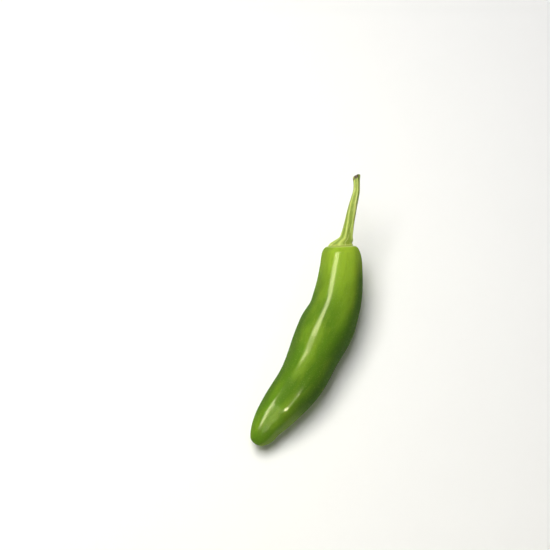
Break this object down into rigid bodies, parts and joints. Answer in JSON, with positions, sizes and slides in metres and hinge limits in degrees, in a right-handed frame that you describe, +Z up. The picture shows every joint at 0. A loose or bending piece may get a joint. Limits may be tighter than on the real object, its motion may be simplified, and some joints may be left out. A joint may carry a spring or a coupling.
{
  "type": "cucumber chili pepper",
  "caption": "Plump, gently curved green chili pepper pod with its ribbed calyx and long stem, as picked, lying on its side.",
  "frame": {"origin": "on the surface that the pepper lies on, inside the small flat under the middle of the pod that carries its weight", "axes": "+Z up, +Y from the tip towards the stem, so +X is on the right of someone who looks from the tip to the stem; the pod bows towards +X"},
  "size_m": [0.0328, 0.1514, 0.0357],
  "materials": {
    "pod_skin": "waxy gloss, yellow-green at the shoulder turning to a deeper green towards the tip and underneath",
    "stem_skin": "satin lime green with pale ribs, and a dried brown cut end"
  },
  "bodies": {
    "root": {"pod": "pod_skin", "calyx_and_stem": "stem_skin"}
  },
  "joints": []
}
